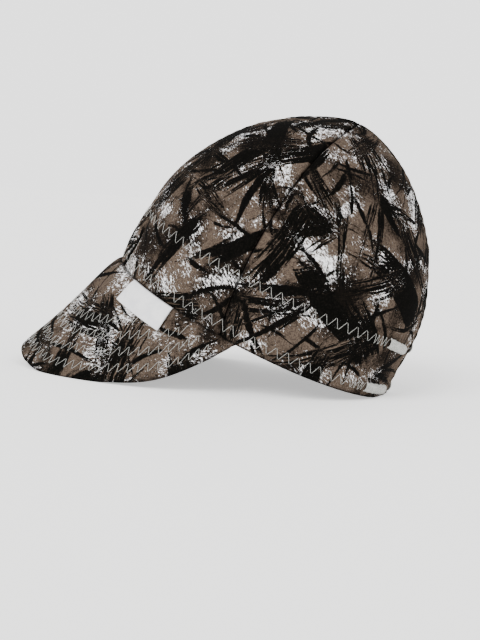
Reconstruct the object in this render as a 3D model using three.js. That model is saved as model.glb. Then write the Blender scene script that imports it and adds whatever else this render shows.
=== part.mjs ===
// A cloth welding cap: a deep crown of four sewn panels, a sweatband inside its rim, a soft quilted brim, a
// folded label caught in the brim's seam, and the four bar tacks that end the two stitched rows at the back.
// Millimetres, +Z up. The brim points to -X and the wearer's left side faces -Y. The cap lies as it does by
// itself on a table: on the two lower lobes of its brim and on the back of its rim, all at z = 0.

import * as THREE from 'three';

// Crown, measured over the outside of the cloth
const rimLength = 204;
const rimWidth = 162;
const crownHeight = 153.5;
const rimSag = 2;
const clothWall = 1.4;

// How far the back seam is sewn round to the wearer's left of the middle, in degrees
const backSeamTurn = 3;

// Sweatband, a strip of cloth against the inside of the rim
const bandHeight = 40;
const bandWall = 1.1;
const bandLift = 1.6;

// Brim, measured along its cloth from the rim to its free edge at the front. brimHalfSpan is how far round it
// is sewn to each side, in degrees. The roll at its root stands proudest before its middle, because its power
// is under 1.
const brimDepth = 88;
const brimWall = 3;
const brimHalfSpan = 92;
const brimRootRoll = 3.6;
const brimRollPower = 0.45;
const brimHollow = 2.6;

// Label, folded and caught in the seam on the wearer's left
const labelLength = 39;
const labelDrop = 17;
const labelWall = 0.9;
const labelCentre = 55.4;

// Bar tacks, dense white satin stitches beside the back seam. Each starts at its row's height, and its end
// beside the seam lies lower by its droop.
const tackLength = 30;
const tackHeight = 6.6;
const tackWall = 1.1;
const tackFromBackSeam = 9.4;
const lowerTackHeight = 6.3;
const tackSpacing = 31.7;
const lowerTackDroop = 1.2;
const upperTackDroop = 3.8;

// Gaps between neighbouring pieces, and how far the cloth gives where it lies on the table
const seamGap = 0.3;
const bandGap = 0.4;
const clothPress = 1.2;

// The crown's point. pointEase is the radius, in walls of cloth, within which an inset turns from square to
// straight down, and pointShort is how far below the point the panels narrow to, as a share of the levels.
const pointEase = 8;
const pointShort = 0.002;

// Crown sections from the rim to the point. height is a share of crownHeight. front, back and side are
// shares of the rim's half length and half width. fullness is the section's roundness: 2 is an ellipse, and
// less draws it out to ridges at the seams. seam is where the side seam runs, in degrees from the front.
const crownSections = [
  { height: 0.000, front: 1.014, back: 0.956, side: 1.000, fullness: 2.05, seam: 86.5 },
  { height: 0.110, front: 1.012, back: 0.953, side: 1.004, fullness: 2.05, seam: 84.7 },
  { height: 0.250, front: 1.000, back: 0.966, side: 1.000, fullness: 2.04, seam: 83.5 },
  { height: 0.390, front: 0.978, back: 0.940, side: 0.990, fullness: 2.02, seam: 83.2 },
  { height: 0.520, front: 0.912, back: 0.868, side: 0.950, fullness: 1.98, seam: 83.0 },
  { height: 0.640, front: 0.810, back: 0.772, side: 0.870, fullness: 1.92, seam: 82.8 },
  { height: 0.750, front: 0.681, back: 0.650, side: 0.745, fullness: 1.86, seam: 82.5 },
  { height: 0.840, front: 0.534, back: 0.520, side: 0.585, fullness: 1.80, seam: 82.5 },
  { height: 0.905, front: 0.385, back: 0.394, side: 0.425, fullness: 1.75, seam: 83.5 },
  { height: 0.955, front: 0.230, back: 0.254, side: 0.255, fullness: 1.72, seam: 86.0 },
  { height: 0.986, front: 0.104, back: 0.122, side: 0.115, fullness: 1.70, seam: 90.0 },
  { height: 1.000, front: 0.000, back: 0.000, side: 0.000, fullness: 1.70, seam: 90.0 },
];

// Soft dents and swells of the cloth. azimuth is in degrees from the front towards the wearer's left, level
// is a height as a share of crownHeight, across and tall are the half widths in the same units, and depth is
// a share of the rim's half width, inward when positive.
const crownFolds = [
  { azimuth: 25, level: 0.13, across: 5, tall: 0.13, depth: 0.028 },
  { azimuth: 13, level: 0.13, across: 7, tall: 0.13, depth: -0.024 },
  { azimuth: 345, level: 0.16, across: 7, tall: 0.14, depth: 0.016 },
  { azimuth: 62, level: 0.42, across: 16, tall: 0.20, depth: 0.012 },
  { azimuth: 128, level: 0.50, across: 18, tall: 0.24, depth: -0.014 },
  { azimuth: 168, level: 0.22, across: 9, tall: 0.14, depth: 0.018 },
  { azimuth: 196, level: 0.24, across: 8, tall: 0.15, depth: 0.014 },
  { azimuth: 300, level: 0.45, across: 18, tall: 0.22, depth: 0.014 },
  { azimuth: 238, level: 0.52, across: 18, tall: 0.24, depth: -0.012 },
];

// Brim sections from the front to the end at the side. azimuth is a share of brimHalfSpan, depth a share of
// brimDepth, and flare the lean of the brim away from the crown's own axis, in degrees.
const brimSections = [
  { azimuth: 0.000, depth: 1.000, flare: 24.0 },
  { azimuth: 0.155, depth: 1.032, flare: 23.5 },
  { azimuth: 0.320, depth: 1.018, flare: 21.5 },
  { azimuth: 0.485, depth: 0.895, flare: 18.5 },
  { azimuth: 0.650, depth: 0.708, flare: 15.0 },
  { azimuth: 0.815, depth: 0.483, flare: 12.0 },
  { azimuth: 0.940, depth: 0.190, flare: 10.0 },
  { azimuth: 0.980, depth: 0.070, flare: 9.0 },
  { azimuth: 1.000, depth: 0.015, flare: 8.0 },
];

// How finely each curved piece is divided
const panelColumns = 14;
const panelRows = 22;
const bandRows = 6;
const brimColumns = 56;
const brimRows = 8;
const labelColumns = 8;
const labelRows = 3;
const tackColumns = 6;
const tackRows = 2;

// How finely the curves are searched and measured
const heightHalvings = 40;
const levelStep = 0.003;
const azimuthStep = 0.5;

// Smooth curves through the rows of a table, one value for each of the named columns.
function tableCurves(rows, at, columns) {
  const positions = rows.map(at);
  const values = rows.flatMap((row) => columns.map((column) => row[column]));
  const curve = new THREE.CubicInterpolant(positions, values, columns.length);
  return (place) => {
    const found = curve.evaluate(place);
    return Object.fromEntries(columns.map((column, index) => [column, found[index]]));
  };
}

const lastSection = crownSections.length - 1;
const crownAt = tableCurves(
  crownSections,
  (row) => crownSections.indexOf(row) / lastSection,
  ['height', 'front', 'back', 'side', 'fullness', 'seam'],
);
const brimAt = tableCurves(brimSections, (row) => row.azimuth, ['depth', 'flare']);

// The level, from 0 at the rim to 1 at the point, where the crown's skin stands at a height.
function levelAtHeight(height) {
  let low = 0;
  let high = 1;
  for (let halving = 0; halving < heightHalvings; halving += 1) {
    const middle = (low + high) / 2;
    if (crownAt(middle).height * crownHeight < height) low = middle;
    else high = middle;
  }
  return (low + high) / 2;
}

// The shortest way round from one azimuth to another, in degrees.
function turn(from, to) {
  return THREE.MathUtils.euclideanModulo(to - from + 180, 360) - 180;
}

// How far the folds press the cloth inward at a place on the crown.
function foldDepth(azimuth, height) {
  let depth = 0;
  for (const fold of crownFolds) {
    const round = turn(fold.azimuth, azimuth) / fold.across;
    const up = (height - fold.level) / fold.tall;
    depth += fold.depth * Math.exp(-round * round - up * up);
  }
  return depth * rimWidth / 2;
}

// A point on the outside of the crown, in the cap's own frame: the rim's centre is the origin, -X is the
// front and +Z runs up to the crown's point.
function crownSkin(azimuth, level) {
  const section = crownAt(level);
  const angle = THREE.MathUtils.degToRad(azimuth);
  const power = 2 / section.fullness;
  const ahead = Math.sign(Math.cos(angle)) * Math.abs(Math.cos(angle)) ** power;
  const aside = Math.sign(Math.sin(angle)) * Math.abs(Math.sin(angle)) ** power;
  const reach = (ahead > 0 ? section.front : section.back) * rimLength / 2;
  const skin = new THREE.Vector3(-reach * ahead, -section.side * rimWidth / 2 * aside, 0);
  const radius = skin.length();
  if (radius > 0) skin.multiplyScalar(1 - Math.min(0.5, foldDepth(azimuth, section.height) / radius));
  skin.z = section.height * crownHeight - rimSag * ((1 - level) * Math.sin(angle)) ** 2;
  return skin;
}

// A point inside the crown's skin by an inset, or outside it by a negative one, square to its profile. Close
// to the crown's point the inset turns straight down, so that opposite panels never meet.
function crownSpot(azimuth, level, inset) {
  const below = crownSkin(azimuth, Math.max(0, level - levelStep));
  const above = crownSkin(azimuth, Math.min(1, level + levelStep));
  const skin = crownSkin(azimuth, level);
  const rise = above.z - below.z;
  const run = Math.hypot(above.x, above.y) - Math.hypot(below.x, below.y);
  const slant = Math.hypot(rise, run);
  const radius = Math.hypot(skin.x, skin.y);
  const inward = inset * rise / slant * Math.min(1, radius / (pointEase * clothWall));
  const scale = radius > 0 ? (radius - inward) / radius : 1;
  return new THREE.Vector3(skin.x * scale, skin.y * scale, skin.z + inset * run / slant);
}

// A point on the brim, in the cap's own frame. reach runs from 0 at the rim to 1 at the free edge, and inset
// goes into the brim's thickness.
function brimSpot(azimuth, reach, inset) {
  const shape = brimAt(Math.min(1, Math.abs(azimuth) / brimHalfSpan));
  const root = crownSkin(azimuth, 0);
  const along = crownSkin(azimuth + azimuthStep, 0).sub(crownSkin(azimuth - azimuthStep, 0)).normalize();
  const outward = new THREE.Vector3(along.y, -along.x, 0);
  if (outward.dot(root) < 0) outward.negate();
  const flare = THREE.MathUtils.degToRad(shape.flare);
  const depth = brimDepth * shape.depth;
  const down = outward.clone().multiplyScalar(Math.sin(flare));
  down.z = -Math.cos(flare);
  const face = outward.clone().multiplyScalar(Math.cos(flare));
  face.z = Math.sin(flare);
  const roll = brimRootRoll * Math.sin(Math.PI * reach ** brimRollPower);
  const hollow = brimHollow * Math.sin(Math.PI * reach);
  root.z -= seamGap;
  return root
    .addScaledVector(down, depth * reach)
    .addScaledVector(face, (roll - hollow) * shape.depth - inset);
}

// The cap tips back until both lobes of the brim and the back of the rim touch one plane.
const rimBack = crownSkin(180, 0);
function leanOver(spot) {
  return Math.atan2(-spot.z, rimBack.x - spot.x);
}
let restLean = 0;
for (let azimuth = 0; azimuth <= brimHalfSpan; azimuth += 1) {
  restLean = Math.max(restLean, leanOver(brimSpot(azimuth, 1, 0)), leanOver(brimSpot(azimuth, 1, brimWall)));
}
const restLift = rimBack.x * Math.sin(restLean) - clothPress;

// Lays a point of the cap's own frame on the table, where the cloth flattens against it.
function laidDown(spot) {
  spot.applyAxisAngle(new THREE.Vector3(0, 1, 0), restLean);
  spot.z = Math.max(0, spot.z + restLift);
  return spot;
}

// A closed wall between two faces. spotAt(across, up, side) gives a point for shares across and up from 0 to
// 1, on the outside for side 0 and on the inside for side 1. A ring joins its last column to its first.
function wallGeometry(spotAt, columns, rows, ring = false) {
  const spots = [];
  const numbers = new Map();
  const numberOf = (spot) => {
    const key = `${spot.x.toFixed(4)},${spot.y.toFixed(4)},${spot.z.toFixed(4)}`;
    if (!numbers.has(key)) {
      numbers.set(key, spots.length / 3);
      spots.push(spot.x, spot.y, spot.z);
    }
    return numbers.get(key);
  };
  const [outside, inside] = [0, 1].map((side) =>
    Array.from({ length: columns + 1 }, (_, column) => {
      const across = (ring ? column % columns : column) / columns;
      return Array.from({ length: rows + 1 }, (__, row) => {
        const up = row / rows;
        return numberOf(laidDown(spotAt(across, up, side)));
      });
    }));
  const faces = [];
  const addFace = (a, b, c) => {
    if (a !== b && b !== c && c !== a) faces.push(a, b, c);
  };
  const addQuad = (a, b, c, d) => {
    addFace(a, b, c);
    addFace(a, c, d);
  };
  for (let column = 0; column < columns; column += 1) {
    const [outer, outerNext] = [outside[column], outside[column + 1]];
    const [inner, innerNext] = [inside[column], inside[column + 1]];
    for (let row = 0; row < rows; row += 1) {
      addQuad(outer[row], outerNext[row], outerNext[row + 1], outer[row + 1]);
      addQuad(inner[row], inner[row + 1], innerNext[row + 1], innerNext[row]);
    }
    addQuad(outer[0], inner[0], innerNext[0], outerNext[0]);
    addQuad(outer[rows], outerNext[rows], innerNext[rows], inner[rows]);
  }
  if (!ring) {
    const [first, firstInner] = [outside[0], inside[0]];
    const [last, lastInner] = [outside[columns], inside[columns]];
    for (let row = 0; row < rows; row += 1) {
      addQuad(first[row], first[row + 1], firstInner[row + 1], firstInner[row]);
      addQuad(last[row], lastInner[row], lastInner[row + 1], last[row + 1]);
    }
  }
  const geometry = new THREE.BufferGeometry();
  geometry.setAttribute('position', new THREE.Float32BufferAttribute(spots, 3));
  geometry.setIndex(faces);
  geometry.computeVertexNormals();
  return geometry;
}

const printedCotton = new THREE.MeshStandardMaterial({ color: 0x5b4d44, roughness: 0.92, metalness: 0 });
const blackCotton = new THREE.MeshStandardMaterial({ color: 0x1b1b1b, roughness: 0.92, metalness: 0 });
const whiteWeave = new THREE.MeshStandardMaterial({ color: 0xe9e9e8, roughness: 0.75, metalness: 0 });
const whiteThread = new THREE.MeshStandardMaterial({ color: 0xd4d8d8, roughness: 0.6, metalness: 0 });

const cap = new THREE.Group();

function addPiece(name, geometry, material) {
  const piece = new THREE.Mesh(geometry, material);
  piece.name = name;
  cap.add(piece);
}

// The panels, in the order in which they follow each other from the front seam towards the wearer's left.
const panelNames = ['crown_front_left', 'crown_back_left', 'crown_back_right', 'crown_front_right'];

const backSeam = 180 - backSeamTurn;

// The azimuths of the front, left, back and right seams at a level, and of the front seam again.
function seamAzimuths(level) {
  const { seam } = crownAt(level);
  return [0, seam, backSeam, 360 - seam, 360];
}

// A panel keeps half the seam's gap on each side. It narrows with the crown and ends in a single corner.
function panelSpot(panel, across, up, side) {
  const level = Math.min(up, 1 - pointShort);
  const [from, to] = seamAzimuths(level).slice(panel);
  const middle = (from + to) / 2;
  const quarter = crownSkin(middle, level);
  const radius = Math.hypot(quarter.x, quarter.y);
  const margin = Math.min((to - from) / 2, THREE.MathUtils.radToDeg(seamGap / 2 / radius));
  const azimuth = up < 1 ? THREE.MathUtils.lerp(from + margin, to - margin, across) : middle;
  return crownSpot(azimuth, level, side * clothWall);
}

panelNames.forEach((name, panel) => {
  const spotAt = (across, up, side) => panelSpot(panel, across, up, side);
  addPiece(name, wallGeometry(spotAt, panelColumns, panelRows), printedCotton);
});

// The sweatband follows the inside of the panels, from just above the rim's edge.
const bandInset = clothWall + bandGap;
function bandSpot(across, up, side) {
  const level = levelAtHeight(bandLift + up * bandHeight);
  const panel = Math.floor(across * panelNames.length);
  const [from, to] = seamAzimuths(level).slice(panel);
  const azimuth = THREE.MathUtils.lerp(from, to, across * panelNames.length - panel);
  return crownSpot(azimuth, level, bandInset + side * bandWall);
}
const bandColumns = panelColumns * panelNames.length;
addPiece('sweatband', wallGeometry(bandSpot, bandColumns, bandRows, true), blackCotton);

// The brim runs round the front from one side to the other.
function brimWallSpot(across, up, side) {
  const azimuth = THREE.MathUtils.lerp(-brimHalfSpan, brimHalfSpan, across);
  return brimSpot(azimuth, 1 - up, side * brimWall);
}
addPiece('brim', wallGeometry(brimWallSpot, brimColumns, brimRows), printedCotton);

// How many degrees of azimuth a length along the rim takes up, at a place on the rim.
function degreesAlongRim(length, azimuth) {
  const before = crownSkin(azimuth - azimuthStep, 0);
  const after = crownSkin(azimuth + azimuthStep, 0);
  return length * 2 * azimuthStep / before.distanceTo(after);
}

// The label lies on the brim, with its upper edge in the seam.
const labelHalfTurn = degreesAlongRim(labelLength / 2, labelCentre);
function labelSpot(across, up, side) {
  const azimuth = labelCentre + labelHalfTurn * (2 * across - 1);
  const depth = brimDepth * brimAt(azimuth / brimHalfSpan).depth;
  const reach = (1 - up) * labelDrop / depth;
  return brimSpot(azimuth, reach, -seamGap - (1 - side) * labelWall);
}
addPiece('label', wallGeometry(labelSpot, labelColumns, labelRows), whiteWeave);

// One bar tack ends each stitched row on each side of the back seam.
function tackGeometry(height, droop, towards) {
  const nearEnd = degreesAlongRim(tackFromBackSeam, backSeam);
  const turned = degreesAlongRim(tackLength, backSeam);
  const start = backSeam + (towards < 0 ? -nearEnd - turned : nearEnd);
  return wallGeometry((across, up, side) => {
    const azimuth = start + across * turned;
    const drop = droop * (towards < 0 ? across : 1 - across);
    const level = levelAtHeight(height - drop + (up - 0.5) * tackHeight);
    return crownSpot(azimuth, level, -seamGap - (1 - side) * tackWall);
  }, tackColumns, tackRows);
}
for (const [row, height, droop] of [
  ['lower', lowerTackHeight, lowerTackDroop],
  ['upper', lowerTackHeight + tackSpacing, upperTackDroop],
]) {
  addPiece(`bar_tack_left_${row}`, tackGeometry(height, droop, -1), whiteThread);
  addPiece(`bar_tack_right_${row}`, tackGeometry(height, droop, 1), whiteThread);
}

// The origin lies on the table under the middle of the cap.
const middle = new THREE.Box3().setFromObject(cap).getCenter(new THREE.Vector3());
cap.position.set(-middle.x, -middle.y, 0);

export default cap;
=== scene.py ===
"""A soft cloth welding cap: printed panels, quilted brim, sweatband, zigzag rows, bar tacks and a bare label.

The cap's form is worked out in millimetres, in the cap's own frame: the rim's centre is the origin, -X is the
front and +Z runs up to the crown's point. Each finished point is then laid on the table as the solids are,
and goes into its mesh in metres.
"""

import logging
import math
from dataclasses import dataclass, field
from enum import Enum
from typing import Callable, NamedTuple, Sequence, Union

import bpy
import numpy as np
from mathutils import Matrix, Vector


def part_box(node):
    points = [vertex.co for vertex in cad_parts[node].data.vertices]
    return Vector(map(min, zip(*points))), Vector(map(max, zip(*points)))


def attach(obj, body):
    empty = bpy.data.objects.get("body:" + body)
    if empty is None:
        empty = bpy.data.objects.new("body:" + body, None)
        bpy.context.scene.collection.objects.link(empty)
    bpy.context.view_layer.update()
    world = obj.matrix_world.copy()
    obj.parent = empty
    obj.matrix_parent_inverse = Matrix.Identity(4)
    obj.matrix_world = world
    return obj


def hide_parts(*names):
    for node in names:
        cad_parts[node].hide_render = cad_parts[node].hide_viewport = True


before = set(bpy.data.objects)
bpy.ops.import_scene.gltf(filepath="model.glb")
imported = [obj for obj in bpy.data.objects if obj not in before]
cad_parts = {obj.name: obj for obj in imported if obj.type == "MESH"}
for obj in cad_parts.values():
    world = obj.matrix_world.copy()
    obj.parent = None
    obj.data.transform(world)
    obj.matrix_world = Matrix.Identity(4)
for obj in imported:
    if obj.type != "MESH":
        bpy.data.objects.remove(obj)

log = logging.getLogger("welding_cap")

MM = 0.001
MM_PER_UV = 10
BODY = "root"

Array = np.ndarray
Span = tuple[float, float]
Spot = tuple[float, float, float]
Colour = tuple[float, float, float, float]
Socket = bpy.types.NodeSocket
Value = Union[Socket, float, Spot, Colour]
Placer = Callable[[Array, Array], Array]


class Slot(Enum):
    """The record's material slots."""

    PRINT = "printed_cotton"
    BAND = "band_cotton"
    BRIM = "brim_cotton"
    LABEL = "label_weave"
    THREAD = "white_thread"


class Face(Enum):
    """The side of the cloth that a stitched row lies on."""

    OUTSIDE = -1
    INSIDE = 1


class CrownSection(NamedTuple):
    """A level of the crown: shares of its height, half length and half width, its roundness and side seam."""

    height: float
    front: float
    back: float
    side: float
    fullness: float
    seam: float


class Fold(NamedTuple):
    """A soft dent of the crown: degrees from the front, shares of its height, a share of its half width."""

    azimuth: float
    level: float
    across: float
    tall: float
    depth: float


class BrimSection(NamedTuple):
    """A section of the brim: a share of its half span, a share of its depth, and its lean in degrees."""

    azimuth: float
    depth: float
    flare: float


CROWN_SECTIONS = (
    CrownSection(0.000, 1.014, 0.956, 1.000, 2.05, 86.5),
    CrownSection(0.110, 1.012, 0.953, 1.004, 2.05, 84.7),
    CrownSection(0.250, 1.000, 0.966, 1.000, 2.04, 83.5),
    CrownSection(0.390, 0.978, 0.940, 0.990, 2.02, 83.2),
    CrownSection(0.520, 0.912, 0.868, 0.950, 1.98, 83.0),
    CrownSection(0.640, 0.810, 0.772, 0.870, 1.92, 82.8),
    CrownSection(0.750, 0.681, 0.650, 0.745, 1.86, 82.5),
    CrownSection(0.840, 0.534, 0.520, 0.585, 1.80, 82.5),
    CrownSection(0.905, 0.385, 0.394, 0.425, 1.75, 83.5),
    CrownSection(0.955, 0.230, 0.254, 0.255, 1.72, 86.0),
    CrownSection(0.986, 0.104, 0.122, 0.115, 1.70, 90.0),
    CrownSection(1.000, 0.000, 0.000, 0.000, 1.70, 90.0),
)

CROWN_FOLDS = (
    Fold(25, 0.13, 5, 0.13, 0.028),
    Fold(13, 0.13, 7, 0.13, -0.024),
    Fold(345, 0.16, 7, 0.14, 0.016),
    Fold(62, 0.42, 16, 0.20, 0.012),
    Fold(128, 0.50, 18, 0.24, -0.014),
    Fold(168, 0.22, 9, 0.14, 0.018),
    Fold(196, 0.24, 8, 0.15, 0.014),
    Fold(300, 0.45, 18, 0.22, 0.014),
    Fold(238, 0.52, 18, 0.24, -0.012),
)

BRIM_SECTIONS = (
    BrimSection(0.000, 1.000, 24.0),
    BrimSection(0.155, 1.032, 23.5),
    BrimSection(0.320, 1.018, 21.5),
    BrimSection(0.485, 0.895, 18.5),
    BrimSection(0.650, 0.708, 15.0),
    BrimSection(0.815, 0.483, 12.0),
    BrimSection(0.940, 0.190, 10.0),
    BrimSection(0.980, 0.070, 9.0),
    BrimSection(1.000, 0.015, 8.0),
)


class TableCurve:
    """A smooth cubic through the rows of a short table, one value for each column."""

    def __init__(self, places: Sequence[float], rows: Sequence[Sequence[float]]) -> None:
        """Keeps the table.

        Args:
            places: where each row stands, rising.
            rows: the values of each row.
        """
        self.places = np.asarray(places, float)
        self.values = np.asarray(rows, float)

    def at(self, place: Array) -> Array:
        """The columns' values at each place, with no bend at the table's ends.

        Args:
            place: places between the first row's and the last row's.

        Returns:
            An array with one more axis than place, for the columns.
        """
        place = np.asarray(place, float)
        last = len(self.places) - 1
        right = np.clip(np.searchsorted(self.places, place, side="right"), 1, last)
        left = right - 1
        before = np.where(left > 0, left - 1, right)
        after = np.where(right < last, right + 1, left)
        t0, t1 = self.places[left], self.places[right]
        half = (t1 - t0) / 2
        weigh_before = (half / (t0 - self.places[before]))[..., None]
        weigh_after = (half / (self.places[after] - t1))[..., None]
        p = ((place - t0) / (t1 - t0))[..., None]
        square, cube = p ** 2, p ** 3
        return (
            (-weigh_before * cube + 2 * weigh_before * square - weigh_before * p) * self.values[before]
            + ((1 + weigh_before) * cube - (1.5 + 2 * weigh_before) * square
               + (weigh_before - 0.5) * p + 1) * self.values[left]
            + (-(1 + weigh_after) * cube + (1.5 + weigh_after) * square + 0.5 * p) * self.values[right]
            + (weigh_after * cube - weigh_after * square) * self.values[after]
        )


def clamp(value: Array) -> Array:
    """A value kept from 0 to 1."""
    return np.clip(value, 0, 1)


def lengths_along(spots: Array) -> Array:
    """How far along a line of points each of them lies."""
    return np.concatenate([[0], np.cumsum(np.linalg.norm(np.diff(spots, axis=0), axis=-1))])


def over_edge(up: Array, face_rows: int, edge_rows: int) -> tuple[Array, Array, Array]:
    """The way over a pocket of two cloths: out along its first face, round the free edge and back.

    Args:
        up: 0 to 1 along that way.
        face_rows: how many rows each face takes.
        edge_rows: how many rows the edge takes.

    Returns:
        The share of the way from root to edge, the side from 0 on the first face to 1 on the second, and how
        far the edge's round stands out, as a share.
    """
    total = 2 * face_rows + edge_rows
    row = up * total
    edge = clamp((row - face_rows) / edge_rows)
    reach = np.minimum(clamp(row / face_rows), clamp((total - row) / face_rows))
    return reach, 0.5 - 0.5 * np.cos(np.pi * edge), np.sin(np.pi * edge)


def turn(start: Array, end: Array) -> Array:
    """The shortest way round from one azimuth to another, in degrees."""
    return (end - start + 180) % 360 - 180


def bump(distance: Array, width: float) -> Array:
    """A soft hill of height 1 at distance 0."""
    return np.exp(-(distance / width) ** 2)


@dataclass
class CapForm:
    """The cap's form, in millimetres: where its skin stands at any azimuth and level, and how it lies."""

    rim_length: float = 204
    rim_width: float = 162
    crown_height: float = 153.5
    rim_sag: float = 2
    cloth_wall: float = 1.4
    back_seam: float = 177
    seam_gap: float = 0.3
    band_gap: float = 0.4
    point_ease: float = 8
    brim_depth: float = 88
    brim_wall: float = 3
    brim_half_span: float = 92
    brim_root_roll: float = 3.6
    brim_roll_power: float = 0.45
    brim_hollow: float = 2.6
    cloth_press: float = 1.2
    brim_grid: tuple[int, int] = (56, 8)
    level_step: float = 0.003
    level_grid: int = 2001
    azimuth_step: float = 0.5
    deepest_fold: float = 0.5

    def __post_init__(self) -> None:
        """Reads the tables, tips the cap back on the table and sets it where the solids stand."""
        levels = np.linspace(0, 1, len(CROWN_SECTIONS))
        self._crown = TableCurve(levels, CROWN_SECTIONS)
        self._brim = TableCurve([s.azimuth for s in BRIM_SECTIONS], [s[1:] for s in BRIM_SECTIONS])
        rim_back = self.crown_skin(np.array(180.0), np.array(0.0))
        round_brim = np.arange(0.0, self.brim_half_span + 0.5)
        edges = np.concatenate([
            self.brim_spot(round_brim, np.ones_like(round_brim), inset) for inset in (0.0, self.brim_wall)
        ])
        self.lean = float(np.arctan2(-edges[:, 2], rim_back[0] - edges[:, 0]).max())
        self.lift = float(rim_back[0]) * math.sin(self.lean) - self.cloth_press
        self.shift = np.zeros(3)
        columns, rows = self.brim_grid
        azimuth, reach = np.meshgrid(
            np.linspace(-self.brim_half_span, self.brim_half_span, columns + 1), np.linspace(0, 1, rows + 1)
        )
        walls = [self.laid(self.brim_spot(azimuth, reach, inset)) for inset in (0.0, self.brim_wall)]
        spots = np.concatenate([wall.reshape(-1, 3) for wall in walls])
        low, high = (np.array(corner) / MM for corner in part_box("brim"))
        self.shift = np.array([low[0] - spots[:, 0].min(), (low[1] + high[1]) / 2
                               - (spots[:, 1].min() + spots[:, 1].max()) / 2, 0])

    def section(self, level: Array) -> Array:
        """The crown's table columns at a level, in the order of CrownSection."""
        return self._crown.at(level)

    def height(self, level: Array) -> Array:
        """How high above the rim a level stands, in the cap's own frame."""
        return self.section(level)[..., 0] * self.crown_height

    def level_at(self, height: Array) -> Array:
        """The level at which the crown's skin stands at a height above the rim."""
        levels = np.linspace(0, 1, self.level_grid)
        return np.interp(height, self.height(levels), levels)

    def seams(self, level: Array) -> list[Array]:
        """The azimuths of the front, left, back and right seams at a level, and of the front seam again."""
        side = self.section(level)[..., 5]
        return [np.zeros_like(side), side, np.full_like(side, self.back_seam), 360 - side,
                np.full_like(side, 360.0)]

    def crown_skin(self, azimuth: Array, level: Array) -> Array:
        """Points on the outside of the crown.

        Args:
            azimuth: degrees from the front towards the wearer's left.
            level: 0 at the rim to 1 at the point.

        Returns:
            The points, in the cap's own frame.
        """
        azimuth, level = np.broadcast_arrays(np.asarray(azimuth, float), np.asarray(level, float))
        height, front, back, side, fullness, _ = np.moveaxis(self.section(level), -1, 0)
        angle = np.radians(azimuth)
        power = 2 / fullness
        ahead = np.sign(np.cos(angle)) * np.abs(np.cos(angle)) ** power
        aside = np.sign(np.sin(angle)) * np.abs(np.sin(angle)) ** power
        reach = np.where(ahead > 0, front, back) * self.rim_length / 2
        x, y = -reach * ahead, -side * self.rim_width / 2 * aside
        radius = np.maximum(np.hypot(x, y), 1e-9)
        fold = sum(
            f.depth * np.exp(-(turn(f.azimuth, azimuth) / f.across) ** 2 - ((height - f.level) / f.tall) ** 2)
            for f in CROWN_FOLDS
        )
        scale = 1 - np.minimum(self.deepest_fold, fold * self.rim_width / 2 / radius)
        z = height * self.crown_height - self.rim_sag * ((1 - level) * np.sin(angle)) ** 2
        return np.stack([x * scale, y * scale, z], axis=-1)

    def crown_spot(self, azimuth: Array, level: Array, inset: Array | float) -> Array:
        """Points inside the crown's skin by an inset, square to its profile, or outside by a negative one.

        Args:
            azimuth: degrees from the front towards the wearer's left.
            level: 0 at the rim to 1 at the point.
            inset: how far inside, in millimetres.

        Returns:
            The points, in the cap's own frame.
        """
        azimuth, level, inset = np.broadcast_arrays(azimuth, level, np.asarray(inset, float))
        below = self.crown_skin(azimuth, np.maximum(0, level - self.level_step))
        above = self.crown_skin(azimuth, np.minimum(1, level + self.level_step))
        skin = self.crown_skin(azimuth, level)
        rise = above[..., 2] - below[..., 2]
        run = np.hypot(above[..., 0], above[..., 1]) - np.hypot(below[..., 0], below[..., 1])
        slant = np.maximum(np.hypot(rise, run), 1e-9)
        radius = np.hypot(skin[..., 0], skin[..., 1])
        ease = np.minimum(1, radius / (self.point_ease * self.cloth_wall))
        inward = inset * rise / slant * ease
        scale = 1 - inward / np.maximum(radius, 1e-6)
        return np.stack([skin[..., 0] * scale, skin[..., 1] * scale, skin[..., 2] + inset * run / slant], -1)

    def rim_pitch(self, azimuth: float) -> float:
        """How many millimetres a degree takes along the rim at an azimuth."""
        around = self.crown_skin(azimuth + np.array([-0.5, 0.5]), 0.0)
        return float(np.linalg.norm(around[1] - around[0]))

    def brim_shape(self, azimuth: Array) -> tuple[Array, Array]:
        """The brim's depth in millimetres and its flare in radians at an azimuth."""
        depth, flare = np.moveaxis(self._brim.at(np.minimum(1, np.abs(azimuth) / self.brim_half_span)), -1, 0)
        return depth * self.brim_depth, np.radians(flare)

    def brim_spot(self, azimuth: Array, reach: Array, inset: Array | float) -> Array:
        """Points on the brim.

        Args:
            azimuth: degrees from the front, negative on the wearer's right.
            reach: 0 at the rim to 1 at the free edge.
            inset: depth into the brim's thickness, in millimetres.

        Returns:
            The points, in the cap's own frame.
        """
        azimuth, reach, inset = np.broadcast_arrays(azimuth, reach, np.asarray(inset, float))
        depth, flare = self.brim_shape(azimuth)
        root = self.crown_skin(azimuth, 0.0)
        step = self.azimuth_step
        along = self.crown_skin(azimuth + step, 0.0) - self.crown_skin(azimuth - step, 0.0)
        along /= np.linalg.norm(along, axis=-1, keepdims=True)
        outward = np.stack([along[..., 1], -along[..., 0], np.zeros_like(azimuth)], -1)
        outward *= np.where((outward * root).sum(-1) < 0, -1, 1)[..., None]
        up = np.array([0.0, 0.0, 1.0])
        down = outward * np.sin(flare)[..., None] - up * np.cos(flare)[..., None]
        face = outward * np.cos(flare)[..., None] + up * np.sin(flare)[..., None]
        roll = self.brim_root_roll * np.sin(np.pi * reach ** self.brim_roll_power)
        hollow = self.brim_hollow * np.sin(np.pi * reach)
        proud = (roll - hollow) * depth / self.brim_depth - inset
        return root - up * self.seam_gap + down * (depth * reach)[..., None] + face * proud[..., None]

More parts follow.
